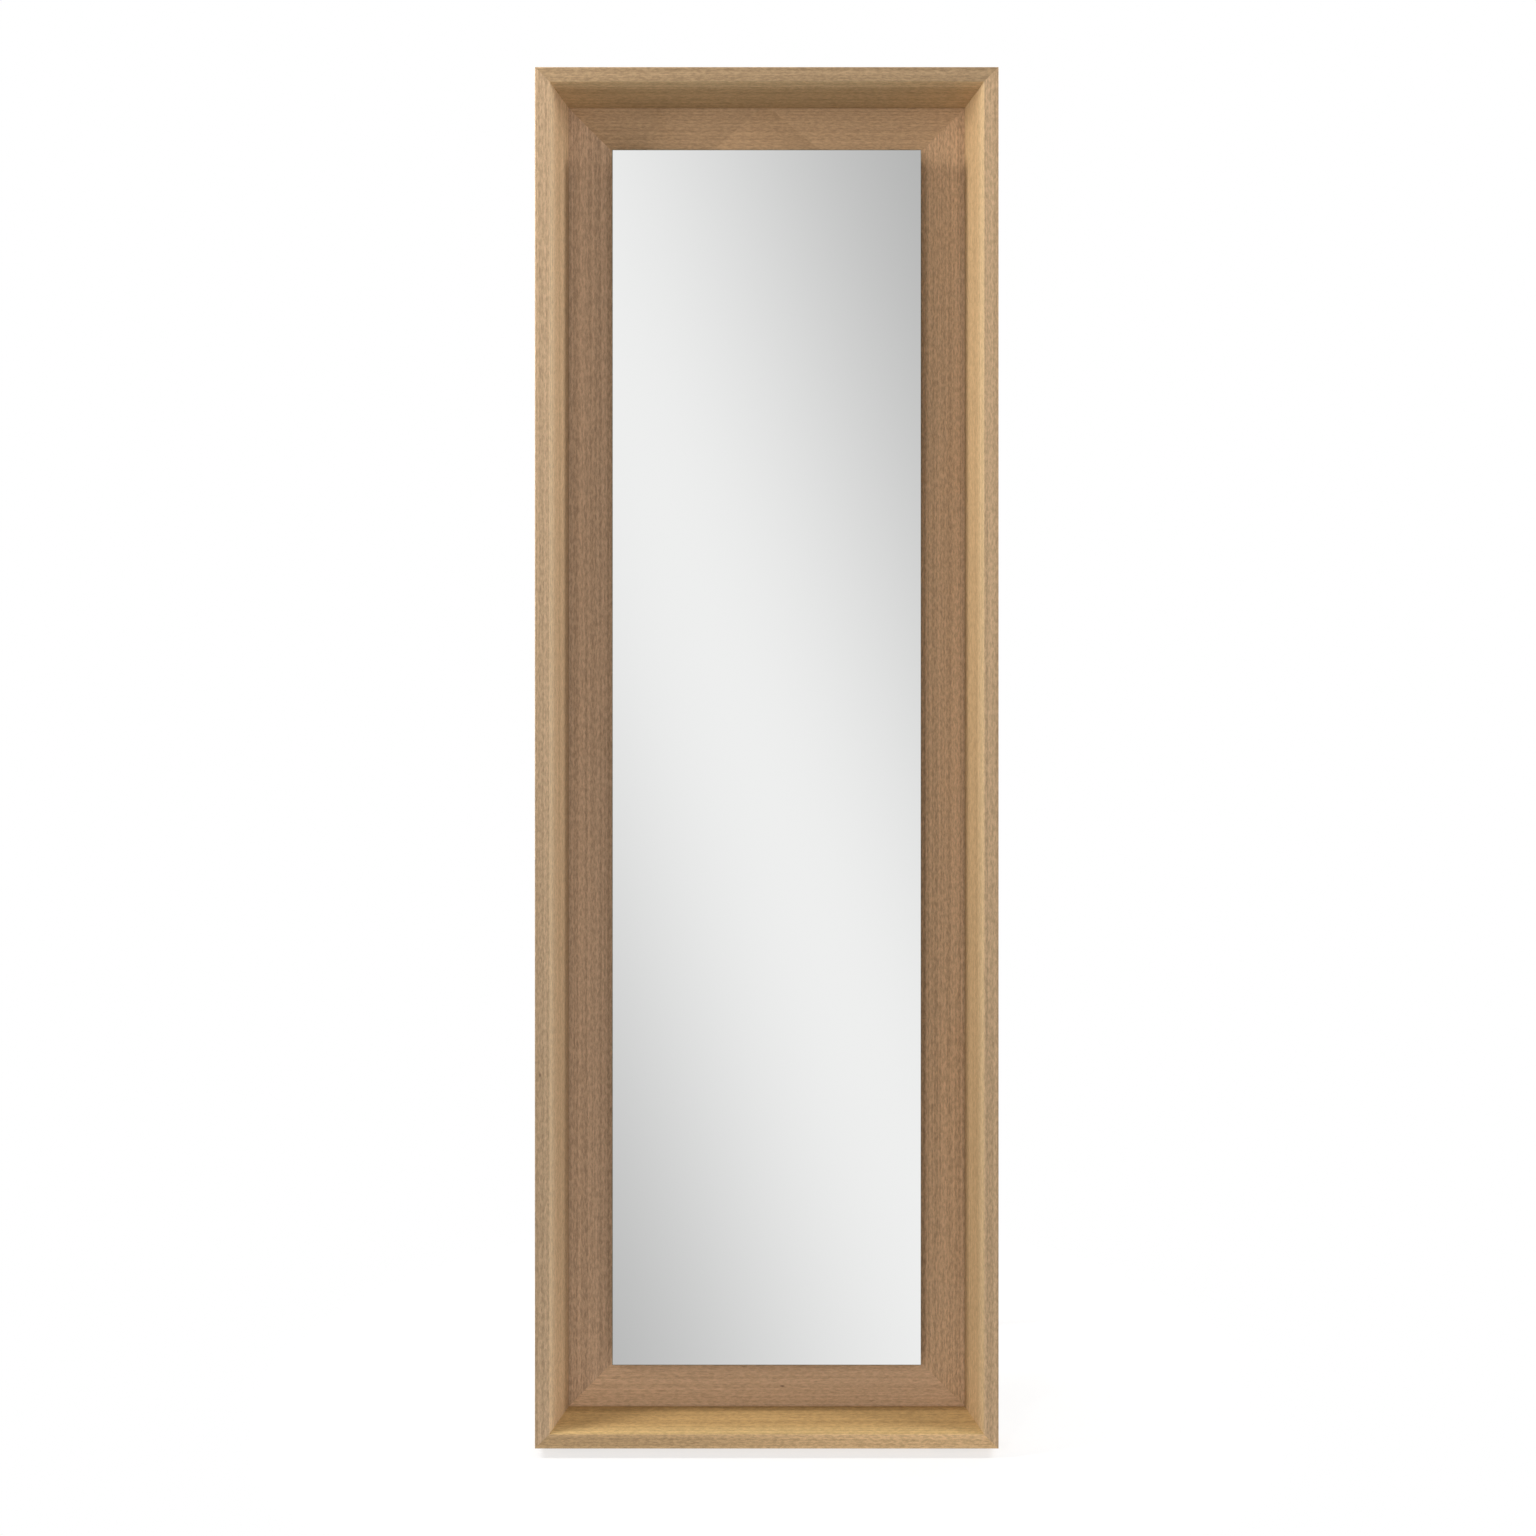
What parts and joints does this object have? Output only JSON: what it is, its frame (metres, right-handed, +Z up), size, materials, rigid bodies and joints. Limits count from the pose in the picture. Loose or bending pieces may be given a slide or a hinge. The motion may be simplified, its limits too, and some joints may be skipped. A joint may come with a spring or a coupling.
{
  "type": "floor mirror",
  "caption": "Tall free-standing mirror: raised glass in a deep mitred oak shadow-box frame, leaning on a folding easel leg.",
  "frame": {"origin": "on the floor, at the middle of the footprint of the standing mirror", "axes": "+Z up; the glass faces -Y and leans back 8 degrees, with the easel leg behind at +Y; +X to the viewer's right"},
  "size_m": [0.614, 0.4582, 1.8243],
  "materials": {
    "oak_frame": "clear satin oak, fine straight grain",
    "oak_liner": "clear satin oak, slightly greyer",
    "oak_leg": "clear satin oak",
    "pine": "planed, unfinished",
    "beech": "pressed",
    "mirror": "silvered glass, polished edge",
    "black_board": "fibreboard painted matt black",
    "foam_tape": "closed-cell foam",
    "plywood": "sanded birch plywood",
    "hinge_steel": "bright zinc plated",
    "screw_steel": "zinc plated",
    "rubber": "matt black"
  },
  "bodies": {
    "frame": {"frame_rail_top": "oak_frame", "frame_rail_bottom": "oak_frame", "frame_stile_left": "oak_frame", "frame_stile_right": "oak_frame", "liner_top": "oak_liner", "liner_bottom": "oak_liner", "liner_left": "oak_liner", "liner_right": "oak_liner", "spacer_top": "pine", "spacer_bottom": "pine", "spacer_left": "pine", "spacer_right": "pine", "mitre_biscuits": "beech", "mirror_glass": "mirror", "mirror_backer": "black_board", "mounting_tape": "foam_tape", "back_panel": "plywood", "hinge_batten": "oak_leg", "hinge_left_frame_leaf": "hinge_steel", "hinge_right_frame_leaf": "hinge_steel", "hinge_pins": "hinge_steel", "corner_plates": "hinge_steel", "stay_bracket_left": "hinge_steel", "stay_bracket_right": "hinge_steel", "stay_studs": "hinge_steel", "hanger_strap_left": "hinge_steel", "hanger_strap_right": "hinge_steel", "corner_plate_screws": "screw_steel", "liner_screws": "screw_steel", "spacer_screws": "screw_steel", "backer_screws": "screw_steel", "back_panel_screws": "screw_steel", "batten_screws": "screw_steel", "hinge_screws_frame": "screw_steel", "stay_bracket_screws": "screw_steel", "hanger_screws": "screw_steel", "frame_foot_left": "rubber", "frame_foot_right": "rubber", "leg_bumpers": "rubber"},
    "leg": {"leg_stile_left": "oak_leg", "leg_stile_right": "oak_leg", "leg_rail_top": "oak_leg", "leg_rail_middle": "oak_leg", "leg_rail_bottom": "oak_leg", "leg_foot_left": "rubber", "leg_foot_right": "rubber", "hinge_left_leg_leaf": "hinge_steel", "hinge_right_leg_leaf": "hinge_steel", "hinge_screws_leg": "screw_steel", "stay_pivot_screws": "screw_steel", "stay_washers": "hinge_steel"},
    "stay_arm_left": {"stay_arm_left": "hinge_steel"},
    "stay_arm_right": {"stay_arm_right": "hinge_steel"},
    "hanger_ring_left": {"hanger_ring_left": "hinge_steel"},
    "hanger_ring_right": {"hanger_ring_right": "hinge_steel"}
  },
  "joints": [
    {"name": "leg_fold", "type": "hinge", "parent": "frame", "child": "leg", "pos_m": [0, 0.05309, 1.28536], "axis": [-1, 0, 0], "range_deg": [0, 16]},
    {"name": "stay_left_swing", "type": "hinge", "parent": "leg", "child": "stay_arm_left", "pos_m": [-0.2705, 0.1283, 0.64964], "axis": [-1, 0, 0], "range_deg": [0, 9.77]},
    {"name": "stay_right_swing", "type": "hinge", "parent": "leg", "child": "stay_arm_right", "pos_m": [0.2705, 0.1283, 0.64964], "axis": [-1, 0, 0], "range_deg": [0, 9.77]},
    {"name": "ring_left_swing", "type": "hinge", "parent": "frame", "child": "hanger_ring_left", "pos_m": [-0.292, 0.06669, 1.54702], "axis": [1, 0, 0], "range_deg": [-8, 160]},
    {"name": "ring_right_swing", "type": "hinge", "parent": "frame", "child": "hanger_ring_right", "pos_m": [0.292, 0.06669, 1.54702], "axis": [1, 0, 0], "range_deg": [-8, 160]}
  ],
  "couplings": [
    {"joint": "stay_left_swing", "follows": "leg_fold", "ratio": 0.6097},
    {"joint": "stay_right_swing", "follows": "leg_fold", "ratio": 0.6097}
  ]
}
